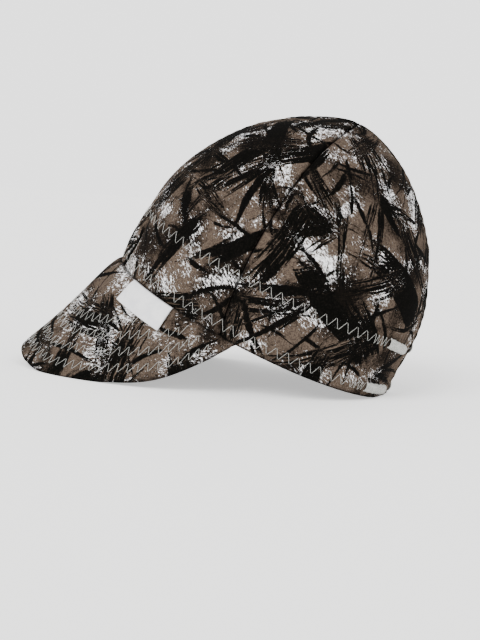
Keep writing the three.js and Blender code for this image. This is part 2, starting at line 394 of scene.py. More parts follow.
    def laid(self, spots: Array) -> Array:
        """Lays points of the cap's own frame on the table, where the cloth flattens against it.

        Args:
            spots: the points.

        Returns:
            The points as they lie on the table, in millimetres.
        """
        x, y, z = np.moveaxis(spots, -1, 0)
        tipped_x = x * math.cos(self.lean) + z * math.sin(self.lean)
        tipped_z = z * math.cos(self.lean) - x * math.sin(self.lean)
        return np.stack([tipped_x, y, np.maximum(0, tipped_z + self.lift)], -1) + self.shift


def select_only(piece: bpy.types.Object) -> None:
    """Makes a piece the only selected and active object."""
    bpy.ops.object.select_all(action="DESELECT")
    piece.select_set(True)
    bpy.context.view_layer.objects.active = piece


def point_outwards(piece: bpy.types.Object) -> None:
    """Turns a closed mesh's faces outwards if its volume comes out negative.

    Args:
        piece: the piece, with its faces all one way.
    """
    mesh = piece.data
    mesh.calc_loop_triangles()
    spots = np.empty(len(mesh.vertices) * 3)
    mesh.vertices.foreach_get("co", spots)
    corners = np.empty(len(mesh.loop_triangles) * 3, np.int64)
    mesh.loop_triangles.foreach_get("vertices", corners)
    a, b, c = np.moveaxis(spots.reshape(-1, 3)[corners.reshape(-1, 3)], 1, 0)
    if (a * np.cross(b, c)).sum() < 0:
        bpy.ops.object.mode_set(mode="EDIT")
        bpy.ops.mesh.select_all(action="SELECT")
        bpy.ops.mesh.flip_normals()
        bpy.ops.object.mode_set(mode="OBJECT")


class Paint(NamedTuple):
    """What each point of a cloth carries besides its place: its place on the flat cloth, and named marks."""

    flat: Array
    marks: dict[str, Array]


def cloth_piece(
    name: str,
    grid: tuple[int, int],
    place: Placer,
    paint: Callable[[Array, Array], Paint],
    weld: float = 0.02,
) -> bpy.types.Object:
    """Lays a grid primitive on the cap, closes it and gives it its cloth coordinates.

    Args:
        name: the piece's name.
        grid: how many columns and rows it has.
        place: gives laid points for shares across and up from 0 to 1.
        paint: gives what the points carry, for the same shares.
        weld: how close points are merged, in millimetres.

    Returns:
        The piece, closed and smooth, with its place in its mesh.
    """
    columns, rows = grid
    bpy.ops.object.select_all(action="DESELECT")
    bpy.ops.mesh.primitive_grid_add(x_subdivisions=columns, y_subdivisions=rows, size=2)
    piece = bpy.context.active_object
    piece.name = piece.data.name = name
    mesh = piece.data
    spots = np.empty(len(mesh.vertices) * 3)
    mesh.vertices.foreach_get("co", spots)
    across, up = clamp(np.round((spots.reshape(-1, 3)[:, :2] + 1) / 2, 6)).T
    mesh.vertices.foreach_set("co", (place(across, up) * MM).ravel())
    painted = paint(across, up)
    corners = np.empty(len(mesh.loops), np.int64)
    mesh.loops.foreach_get("vertex_index", corners)
    mesh.uv_layers.active.data.foreach_set("uv", (painted.flat[corners] / MM_PER_UV).ravel())
    for mark, values in painted.marks.items():
        kind, field_name = ("FLOAT_VECTOR", "vector") if values.ndim == 2 else ("FLOAT", "value")
        mesh.attributes.new(mark, kind, "POINT").data.foreach_set(field_name, values.ravel())
    mesh.update()
    bpy.ops.object.mode_set(mode="EDIT")
    bpy.ops.mesh.select_all(action="SELECT")
    bpy.ops.mesh.remove_doubles(threshold=weld * MM)
    bpy.ops.mesh.dissolve_degenerate(threshold=weld * MM / 4)
    bpy.ops.object.mode_set(mode="OBJECT")
    point_outwards(piece)
    bpy.ops.object.shade_smooth()
    return piece


def thread_piece(name: str, runs: Sequence[Array], radius: float) -> bpy.types.Object:
    """Threads that follow runs of laid points, as one closed mesh.

    Args:
        name: the piece's name.
        runs: the points of each thread, in millimetres.
        radius: the thread's radius, in millimetres.

    Returns:
        The piece, with its place in its mesh.
    """
    curve = bpy.data.curves.new(name, "CURVE")
    curve.dimensions = "3D"
    curve.bevel_depth = radius * MM
    curve.bevel_resolution = 1
    curve.use_fill_caps = True
    for run in runs:
        spline = curve.splines.new("POLY")
        spline.points.add(len(run) - 1)
        spline.points.foreach_set("co", np.c_[run * MM, np.ones(len(run))].ravel())
    piece = bpy.data.objects.new(name, curve)
    bpy.context.scene.collection.objects.link(piece)
    select_only(piece)
    bpy.ops.object.convert(target="MESH")
    piece = bpy.context.active_object
    piece.name = piece.data.name = name
    bpy.ops.object.shade_smooth()
    return piece


class Pull(NamedTuple):
    """One pull of a loaded brush over the flat cloth, in millimetres and degrees.

    fan is how much wider the pull is at its end, as a share. Below 0 it closes to a point. dry is how much of
    the cloth shows between its bristles, from 0 to 1.
    """

    start: Array
    heading: float
    length: float
    width: float
    bend: float
    fan: float
    dry: float


class Lock(NamedTuple):
    """One lock of bristles: its way, its half widths, its shares of the pull's length, and its offset."""

    path: Array
    half: Array
    shares: Array
    offset: float


@dataclass
class BrushPrint:
    """A camouflage of dry-brushed sweeps, sprays of spikes and thin cracks, laid out by a seeded hand.

    Lengths are in millimetres and turns in degrees. Spans are what the hand draws a value from.
    """

    seed: int
    low: Span
    high: Span
    cell: float = 38
    headings: tuple[float, ...] = (35, 68, 215, 248, 150, 305)
    heading_slip: Span = (-18, 18)
    sweep_length: Span = (65, 130)
    sweep_width: Span = (9, 22)
    sweep_bend: Span = (-50, 50)
    sweep_fan: Span = (-0.5, 0.7)
    sweep_dry: Span = (0.0, 0.36)
    spray_root: Span = (0.6, 0.95)
    spray_turn: Span = (-30, 30)
    spray_spread: Span = (24, 58)
    spikes: tuple[int, int] = (4, 8)
    spike_start: Span = (-3, 3)
    spike_turn: Span = (-7, 7)
    spike_length: Span = (40, 95)
    spike_width: Span = (3.6, 8.6)
    spike_bend: Span = (-42, 42)
    spike_fan: float = -0.75
    spike_dry: Span = (0.0, 0.4)
    cracks: int = 4
    crack_length: Span = (20, 70)
    crack_width: Span = (1.5, 2.8)
    crack_bend: Span = (-90, 90)
    crack_fan: float = -0.3
    crack_dry: float = 0.1
    spine_steps: int = 64
    lock: float = 2.6
    lock_overlap: float = 1.41
    lock_step: float = 4.0
    lock_begin: Span = (0, 0.08)
    lock_fray: Span = (0, 0.5)
    middle_fray: float = 0.3
    wobble: float = 0.7
    wobble_beat: Span = (6, 14)
    wobble_run: float = 80
    begin_slope: float = 9
    begin_share: float = 0.3
    end_slope: float = 1.5
    end_power: float = 0.8
    dry_from: float = 0.45
    far: float = 30
    margin: float = 5
    lane_shift: Span = (37.0, 11.0)

    def pulls(self, rng: np.random.Generator) -> list[Pull]:
        """Every pull of the print: a sweep in each cell of the cloth, with its spray and its cracks.

        Args:
            rng: the seeded hand.

        Returns:
            The pulls, in the order in which they are laid.
        """
        low, high = np.array(self.low, float), np.array(self.high, float)
        cells = np.ceil((high - low) / self.cell).astype(int)
        found: list[Pull] = []
        for column, row in np.ndindex(*cells):
            start = low + self.cell * (np.array([column, row]) + rng.uniform(0, 1, 2))
            heading = rng.choice(self.headings) + rng.uniform(*self.heading_slip)
            sweep = Pull(start, heading, rng.uniform(*self.sweep_length), rng.uniform(*self.sweep_width),
                         rng.uniform(*self.sweep_bend), rng.uniform(*self.sweep_fan),
                         rng.uniform(*self.sweep_dry))
            found.append(sweep)
            found.extend(self.spray(sweep, rng))
            found.extend(self.crack(start, rng) for _ in range(self.cracks))
        return found

    def spray(self, sweep: Pull, rng: np.random.Generator) -> list[Pull]:
        """The spikes that fan out near a sweep's end, each wide at its root and drawn out to a point.

        Args:
            sweep: the sweep that they start on.
            rng: the seeded hand.

        Returns:
            The spikes.
        """
        root = rng.uniform(*self.spray_root)
        points, _ = self.spine(sweep, np.array([root]))
        middle = sweep.heading + sweep.bend * root + rng.uniform(*self.spray_turn)
        spread = rng.uniform(*self.spray_spread)
        return [
            Pull(points[0] + rng.uniform(*self.spike_start, 2),
                 middle + spread * place + rng.uniform(*self.spike_turn),
                 rng.uniform(*self.spike_length), rng.uniform(*self.spike_width),
                 rng.uniform(*self.spike_bend), self.spike_fan, rng.uniform(*self.spike_dry))
            for place in np.linspace(-1, 1, rng.integers(*self.spikes))
        ]

    def crack(self, near: Array, rng: np.random.Generator) -> Pull:
        """A thin crooked line that starts near a place and runs any way.

        Args:
            near: the place.
            rng: the seeded hand.

        Returns:
            The line, as a narrow pull.
        """
        start = near + rng.uniform(-1, 1, 2) * self.cell / 2
        return Pull(start, rng.uniform(0, 360), rng.uniform(*self.crack_length),
                    rng.uniform(*self.crack_width), rng.uniform(*self.crack_bend), self.crack_fan,
                    self.crack_dry)

    def spine(self, pull: Pull, shares: Array) -> tuple[Array, Array]:
        """Points on a pull's middle line, on one round bend.

        Args:
            pull: the pull.
            shares: how far along it the points lie, from 0 to 1.

        Returns:
            The points, and the directions across it there.
        """
        fine = np.linspace(0, 1, self.spine_steps + 1)
        angle = np.radians(pull.heading + pull.bend * fine)
        steps = np.stack([np.cos(angle), np.sin(angle)], -1) * pull.length / self.spine_steps
        way = pull.start + np.concatenate([[(0.0, 0.0)], np.cumsum(steps[:-1], 0)])
        points = np.stack([np.interp(shares, fine, way[:, axis]) for axis in (0, 1)], -1)
        here = np.radians(pull.heading + pull.bend * shares)
        return points, np.stack([-np.sin(here), np.cos(here)], -1)

    def locks(self, pull: Pull, rng: np.random.Generator) -> list[Lock]:
        """The locks of bristles that draw a pull side by side and let go of the cloth one by one.

        Args:
            pull: the pull.
            rng: the seeded hand.

        Returns:
            The locks.
        """
        count = max(1, round(pull.width / self.lock))
        found = []
        for place in (np.arange(count) + 0.5) / count * 2 - 1:
            begin = rng.uniform(*self.lock_begin)
            end = 1 - rng.uniform(*self.lock_fray) * min(1.0, self.middle_fray + abs(place))
            shares = np.linspace(begin, end, max(4, int(pull.length / self.lock_step)))
            points, normals = self.spine(pull, shares)
            phase = rng.uniform(0, 2 * math.pi, 2)
            beat = rng.uniform(*self.wobble_beat, 2) * pull.length / self.wobble_run
            waver = self.wobble * (np.sin(beat[0] * shares + phase[0])
                                   + 0.5 * np.sin(2.3 * beat[1] * shares + phase[1]))
            offset = place * pull.width / 2 * (1 - 1 / count)
            path = points + normals * (offset * (1 + pull.fan * shares) + waver * shares)[:, None]
            own = (shares - begin) / (end - begin)
            taper = (np.clip(own * self.begin_slope, self.begin_share, 1)
                     * clamp((1 - own) * self.end_slope) ** self.end_power)
            half = pull.width / count / 2 * self.lock_overlap * taper * (1 + 0.5 * pull.fan * shares)
            found.append(Lock(path, half, shares, offset))
        return found

    def paint(self, flat: Array) -> Array:
        """How each point of the flat cloth is covered.

        Args:
            flat: the points, in millimetres.

        Returns:
            For each point how far along its pull it lies, how far across, how deep inside its edge, and how
            dry the brush is there.
        """
        rng = np.random.default_rng(self.seed)
        brush = np.zeros((len(flat), 4))
        brush[:, 2] = -self.far
        for number, pull in enumerate(self.pulls(rng)):
            for lock in self.locks(pull, rng):
                self.cover(flat, brush, number, pull, lock)
        return brush

    def cover(self, flat: Array, brush: Array, number: int, pull: Pull, lock: Lock) -> None:
        """Lays one lock's paint over what is there, where it covers more.

        Args:
            flat: the points of the flat cloth.
            brush: what paint returns for them, changed in place.
            number: the pull's number, which sets its streaks apart from the next one's.
            pull: the pull.
            lock: the lock.
        """
        reach = lock.half.max() + self.margin
        low, high = lock.path.min(0) - reach, lock.path.max(0) + reach
        near = np.flatnonzero(np.all((flat > low) & (flat < high), axis=1))
        if not len(near):
            return
        points = flat[near]
        begin, span = lock.path[:-1], np.diff(lock.path, axis=0)
        share = clamp(((points[:, None] - begin) * span).sum(-1) / (span ** 2).sum(-1))
        off = points[:, None] - (begin + span * share[..., None])
        distance = np.linalg.norm(off, axis=-1)
        best = distance.argmin(1)
        row = np.arange(len(points))
        place = best + share[row, best]
        knots = np.arange(len(lock.half))
        inside = np.interp(place, knots, lock.half) - distance[row, best]
        better = inside > brush[near, 2]
        side = np.sign(span[best, 0] * off[row, best, 1] - span[best, 1] * off[row, best, 0])
        along = np.interp(place, knots, lock.shares)
        dry = clamp(pull.dry + clamp((along - self.dry_from) / (1 - self.dry_from)) ** 2)
        lane = (along * pull.length + self.lane_shift[0] * number,
                lock.offset + side * distance[row, best] + self.lane_shift[1] * number)
        values = np.stack([*lane, inside, dry], -1)
        brush[near[better]] = values[better]


class Graph:
    """A short way to build one material's nodes.

    wave_scale turns threads in a centimetre into the scale of the bands. weave_depth is in millimetres.
    """

    wave_scale = 0.31831
    weave_depth = 0.12

    def __init__(self, name: str) -> None:
        """Starts a material with its shader and output.

        Args:
            name: the material's name.
        """
        self.material = bpy.data.materials.new(name)
        self.material.use_nodes = True
        self.tree = self.material.node_tree
        self.shader = self.tree.nodes["Principled BSDF"]

    def feed(self, socket: Socket, value: Value) -> None:
        """Gives a socket a value, or links another node's output to it.

        Args:
            socket: what is fed.
            value: the value, or the other node's output.
        """
        if isinstance(value, Socket):
            self.tree.links.new(value, socket)
        else:
            socket.default_value = value

    def add(self, kind: str, inputs: dict[str | int, Value] | None = None, **settings: str) -> bpy.types.Node:
        """Adds a node.

        Args:
            kind: the node's type, without its ShaderNode prefix.
            inputs: what goes into each socket, a value or another node's output.
            settings: the node's own properties.

        Returns:
            The node.
        """
        node = self.tree.nodes.new("ShaderNode" + kind)
        for key, value in settings.items():
            setattr(node, key, value)
        for key, value in (inputs or {}).items():
            self.feed(node.inputs[key], value)
        return node

    def math(self, operation: str, first: Value, second: Value) -> Socket:
        """One sum on two values."""
        return self.add("Math", {0: first, 1: second}, operation=operation).outputs[0]

    def attribute(self, name: str, output: str = "Fac") -> Socket:
        """A mark that the piece's points carry."""
        return self.add("Attribute", attribute_name=name).outputs[output]

    def noise(self, vector: Socket, scale: float, detail: float, rough: float) -> Socket:
        """A seeded noise of about 0 to 1."""
        inputs = {"Vector": vector, "Scale": scale, "Detail": detail, "Roughness": rough}
        return self.add("TexNoise", inputs).outputs[0]

    def between(self, value: Socket, low: float, high: float) -> Socket:
        """A soft step from 0 at low to 1 at high."""
        inputs = {"Value": value, "From Min": low, "From Max": high}
        return self.add("MapRange", inputs, interpolation_type="SMOOTHSTEP").outputs[0]

    def mix(self, share: Value, first: Value, second: Value) -> Socket:
        """Mixes two colours, the first one where share is 0.

        Args:
            share: the second colour's share.
            first: one colour.
            second: the other.

        Returns:
            The mixed colour.
        """
        node = self.add("Mix", data_type="RGBA")
        for key, value in (("Factor_Float", share), ("A_Color", first), ("B_Color", second)):
            self.feed(next(s for s in node.inputs if s.identifier == key), value)
        return next(s for s in node.outputs if s.identifier == "Result_Color")

    def cloth_place(self) -> Socket:
        """The place on the flat cloth, in centimetres."""
        return self.add("UVMap").outputs[0]

    def millimetres(self) -> Socket:
        """Object coordinates, in millimetres."""
        place = self.add("TexCoord").outputs["Object"]
        return self.add("VectorMath", {0: place, 3: 1 / MM}, operation="SCALE").outputs[0]

    def set(self, **values: Value) -> None:
        """Sets the shader's own sockets, with _ for a space in their names."""
        for key, value in values.items():
            self.feed(self.shader.inputs[key.replace("_", " ")], value)

    def relief(self, height: Socket, strength: float, depth: float) -> None:
        """Gives the shader a bump of a height, at a strength and a depth in millimetres."""
        bump_node = self.add("Bump", {"Height": height, "Strength": strength, "Distance": depth * MM})
        self.set(Normal=bump_node.outputs[0])

    def weave(self, threads_per_cm: float, strength: float, grain: Socket) -> None:
        """Gives the shader a plain weave's bump on the piece's own cloth coordinates.

        Args:
            threads_per_cm: how close the threads lie.
            strength: how deep the bump looks.
            grain: a further height added to the weave.
        """
        inputs = {"Vector": self.cloth_place(), "Scale": threads_per_cm * self.wave_scale}
        warp, weft = (self.add("TexWave", inputs, bands_direction=way).outputs["Fac"] for way in "XY")
        self.relief(self.math("ADD", self.math("MULTIPLY", warp, weft), grain), strength, self.weave_depth)


def srgb(red: int, green: int, blue: int) -> Colour:
    """A colour as it looks on a screen, in the renderer's own linear values."""
    shares = [value / 255 for value in (red, green, blue)]
    return (*[s / 12.92 if s <= 0.04045 else ((s + 0.055) / 1.055) ** 2.4 for s in shares], 1.0)


@dataclass(frozen=True)
class PrintedCotton:
    """Taupe cotton printed with black dry-brush strokes and distressed white scratches, with painted shade in
    its seams.

    Scales are in 1 / mm, the scratches' in 1 / cm of cloth. A step is where a noise begins to show and where
    it shows in full.
    """

    name: str = "printed_cotton"
    ground: Colour = srgb(89, 77, 67)
    deep: Colour = srgb(54, 45, 38)
    ink: Colour = srgb(5, 5, 4)
    rubbed_ink: Colour = srgb(17, 15, 13)
    white: Colour = srgb(244, 243, 244)
    grey: Colour = srgb(176, 170, 170)
    back: Colour = srgb(88, 80, 74)
    mottle_scale: float = 0.040
    mottle_step: Span = (0.42, 0.62)
    grain_scale: float = 1.0
    grain_step: Span = (0.43, 0.57)
    grain_share: float = 0.72
    grain_height: float = 0.8
    grit_scale: float = 0.85
    grit_step: Span = (0.528, 0.563)
    grit_share: float = 0.85
    grit_mottle: float = 0.8
    patch_scale: float = 0.047
    patch_weight: float = 1.4
    scratch_scale: float = 9.0
    scratch_weight: float = 1.7
    scratch_turn: float = 0.96
    scratch_stretch: float = 2.6
    scratch_step: Span = (1.03, 1.06)
    white_step: Span = (1.02, 1.06)
    streak_scale: float = 0.9
    streak_stretch: float = 0.045
    streak_step: Span = (0.46, 0.64)
    streak_depth: float = 7.0
    ragged_scale: float = 0.55
    ragged_middle: float = 0.47
    ragged_depth: float = 2.8
    edge_step: Span = (-0.10, 0.18)
    rub_step: Span = (0.45, 0.70)
    show_through: float = 0.22
    rough: float = 0.95
    shine: float = 0.03
    threads_per_cm: float = 18
    weave_strength: float = 0.35

    def material(self) -> bpy.types.Material:
        """Builds the material.

        Returns:
            The material.
        """
        g = Graph(self.name)
        place = g.millimetres()
        grain = g.noise(place, self.grain_scale, 3.0, 0.7)
        printed = self.ink_over(g, place, grain, self.scratches_over(g, place, self.cloth(g, place, grain)))
        shown = g.mix(g.attribute("inner"), printed, g.mix(self.show_through, self.back, printed))
        # Painted shade: the mark read here darkens the colour towards ink in the seams' tucks, along the
        # crown's hem, in the crease above the brim, and at the brim's root and free edge.
        g.set(Base_Color=g.mix(g.attribute("crevice_shade"), shown, self.ink), Roughness=self.rough,
              Specular_IOR_Level=self.shine)
        g.weave(self.threads_per_cm, self.weave_strength, g.math("MULTIPLY", grain, self.grain_height))
        return g.material

    def cloth(self, g: Graph, place: Socket, grain: Socket) -> Socket:
        """The mottled and gritty taupe ground.

        Args:
            g: the material's nodes.
            place: object coordinates in millimetres.
            grain: the fine noise of the cloth.

        Returns:
            Its colour.
        """
        mottle = g.noise(place, self.mottle_scale, 4.0, 0.55)
        colour = g.mix(g.between(mottle, *self.mottle_step), self.ground, self.deep)
        grained = g.math("MULTIPLY", g.between(grain, *self.grain_step), self.grain_share)
        colour = g.mix(grained, colour, self.deep)
        grit = g.noise(place, self.grit_scale, 5.0, 0.85)
        gritty = g.math("ADD", grit, g.math("MULTIPLY", g.math("SUBTRACT", mottle, 0.5), self.grit_mottle))
        speckled = g.math("MULTIPLY", g.between(gritty, *self.grit_step), self.grit_share)
        return g.mix(speckled, colour, self.ink)

    def scratches_over(self, g: Graph, place: Socket, colour: Socket) -> Socket:
        """White patches that dissolve into short slanting scratches.

        Args:
            g: the material's nodes.
            place: object coordinates in millimetres.
            colour: what they are printed on.

        Returns:
            The colour with them on it.
        """
        slanted = g.add("Mapping", {"Vector": g.cloth_place(), "Rotation": (0, 0, self.scratch_turn),
                                    "Scale": (1, self.scratch_stretch, 1)}, vector_type="TEXTURE").outputs[0]
        scratch = g.noise(slanted, self.scratch_scale, 4.0, 0.85)
        patch = g.noise(place, self.patch_scale, 4.0, 0.6)
        worn = g.math("ADD", g.math("MULTIPLY", scratch, self.scratch_weight),
                      g.math("MULTIPLY", g.math("SUBTRACT", patch, 0.5), self.patch_weight))
        tone = g.mix(g.between(worn, *self.white_step), self.grey, self.white)
        return g.mix(g.between(worn, *self.scratch_step), colour, tone)

    def ink_over(self, g: Graph, place: Socket, grain: Socket, colour: Socket) -> Socket:
        """Black brush strokes, ragged at their edges and streaked where the brush is dry.

        Args:
            g: the material's nodes.
            place: object coordinates in millimetres.
            grain: the fine noise of the cloth.
            colour: what they are printed on.

        Returns:
            The colour with them on it.
        """
        along, across, inside = g.add("SeparateXYZ", {0: g.attribute("brush", "Vector")}).outputs
        lane = g.add("CombineXYZ", {0: g.math("MULTIPLY", along, self.streak_stretch), 1: across}).outputs[0]
        streak = g.noise(lane, self.streak_scale, 3.0, 0.65)
        ragged = g.math("SUBTRACT", g.noise(place, self.ragged_scale, 5.0, 0.75), self.ragged_middle)
        cover = g.math("ADD", inside, g.math("MULTIPLY", ragged, self.ragged_depth))
        dry = g.math("MULTIPLY", g.between(streak, *self.streak_step),
                     g.math("MULTIPLY", g.attribute("dry"), self.streak_depth))
        inked = g.between(g.math("SUBTRACT", cover, dry), *self.edge_step)
        return g.mix(inked, colour, g.mix(g.between(grain, *self.rub_step), self.ink, self.rubbed_ink))


@dataclass(frozen=True)
class PlainCloth:
    """Cloth or ribbon of one colour, with a little wear. Scales are in 1 / mm."""

    name: str
    colour: Colour
    worn: Colour
    threads_per_cm: float = 16
    rough: float = 0.9
    sheen: float = 0.15
    shine: float = 0.3
    wear_scale: float = 0.12
    wear_step: Span = (0.38, 0.70)
    grain_scale: float = 2.2
    weave_strength: float = 0.4
    grain_height: float = 0.4

    def material(self) -> bpy.types.Material:
        """Builds the material.

        Returns:
            The material.
        """
        g = Graph(self.name)
        place = g.millimetres()
        wear = g.between(g.noise(place, self.wear_scale, 4.0, 0.6), *self.wear_step)
        grain = g.noise(place, self.grain_scale, 2.0, 0.6)
        g.set(Base_Color=g.mix(wear, self.colour, self.worn), Roughness=self.rough, Sheen_Weight=self.sheen,
              Specular_IOR_Level=self.shine)
        g.weave(self.threads_per_cm, self.weave_strength, g.math("MULTIPLY", grain, self.grain_height))
        return g.material


@dataclass(frozen=True)
class Thread:
    """Twisted pale polyester thread with a soft sheen."""

    name: str = "white_thread"
    colour: Colour = srgb(198, 198, 192)
    shade: Colour = srgb(132, 132, 128)
    twist_per_mm: float = 2.4
    twist_step: Span = (0.40, 0.62)
    twist_depth: float = 0.1
    twist_strength: float = 0.3
    rough: float = 0.55
    sheen: float = 0.2
    shine: float = 0.4

    def material(self) -> bpy.types.Material:
        """Builds the material.

        Returns:
            The material.
        """
        g = Graph(self.name)
        ply = g.noise(g.millimetres(), self.twist_per_mm, 2.0, 0.5)
        g.set(Base_Color=g.mix(g.between(ply, *self.twist_step), self.shade, self.colour),
              Roughness=self.rough, Sheen_Weight=self.sheen, Specular_IOR_Level=self.shine)
        g.relief(ply, self.twist_strength, self.twist_depth)
        return g.material


def finish_piece(
    piece: bpy.types.Object, material: bpy.types.Material, replaced: Sequence[str] = ()
) -> bpy.types.Object:
    """Dresses a piece, sets it on the cap's body and hides the solids that it stands for.

    Args:
        piece: the finished piece.
        material: the finish.
        replaced: the solids that it stands for.

    Returns:
        The piece.
    """
    piece.data.materials.clear()
    piece.data.materials.append(material)
    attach(piece, BODY)
    if replaced:
        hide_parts(*replaced)
    log.info("%s: %d faces", piece.name, len(piece.data.polygons))
    return piece


@dataclass
class Stitches:
    """How the zigzag rows are sewn, in millimetres."""

    thread_radius: float = 0.115
    crown_swing: float = 7.2
    brim_swing: float = 7.8
    crown_cycle: float = 7.6
    brim_cycle: float = 6.8
    lift: float = 0.42
    sink: float = 0.45
    steps: int = 6
    crown_rows: tuple[float, float] = (6.3, 38.0)
    brim_rows: tuple[float, ...] = (10.0, 22.5, 35.0, 47.5)
    uneven: float = 0.4
    lock_length: float = 13
    lock_share: float = 0.45
    seam_bridge: float = 1.6
    arch_power: float = 0.4

    def zigzag(
        self, length: float, cycle: float, swing: float, rng: np.random.Generator, locked: bool = False
    ) -> tuple[Array, Array, Array]:
        """A zigzag seam laid out flat.

        Args:
            length: how far it runs.
            cycle: the length of one up-and-down.
            swing: how far across it swings in all.
            rng: makes each stitch a little uneven.
            locked: whether the stitches crowd together at both ends, as they do before a bar tack.

        Returns:
            How far along, how far across and how high above the cloth each point of the thread lies.
        """
        corners = np.arange(0, length, cycle / 2)
        if locked:
            ends = np.arange(0, self.lock_length, cycle / 2 * self.lock_share)
            middle = np.arange(self.lock_length, length - self.lock_length, cycle / 2)
            corners = np.concatenate([ends, middle, length - ends[::-1]])
        swings = np.where(np.arange(len(corners)) % 2, 0.5, -0.5) * swing
        corners = corners + rng.uniform(-0.5, 0.5, len(corners)) * self.uneven
        swings = swings + rng.uniform(-0.5, 0.5, len(corners)) * self.uneven
        share = np.linspace(0, 1, self.steps + 1)[:-1]
        along = (corners[:-1, None] + np.diff(corners)[:, None] * share).ravel()
        across = (swings[:-1, None] + np.diff(swings)[:, None] * share).ravel()
        arch = np.where(share == 0, -self.sink, self.lift * np.sin(np.pi * share) ** self.arch_power)
        return along, across, np.tile(arch, len(corners) - 1)


class Panel(Enum):
    """The crown's panels, in order round the cap from the front seam towards the wearer's left."""

    FRONT_LEFT = "crown_front_left"
    BACK_LEFT = "crown_back_left"
    BACK_RIGHT = "crown_back_right"
    FRONT_RIGHT = "crown_front_right"


class Wrinkle(NamedTuple):
    """A small wrinkle: its azimuth, its share of the height, its way, and its sizes in millimetres."""

    azimuth: float
    level: float
    way: float
    length: float
    width: float
    depth: float


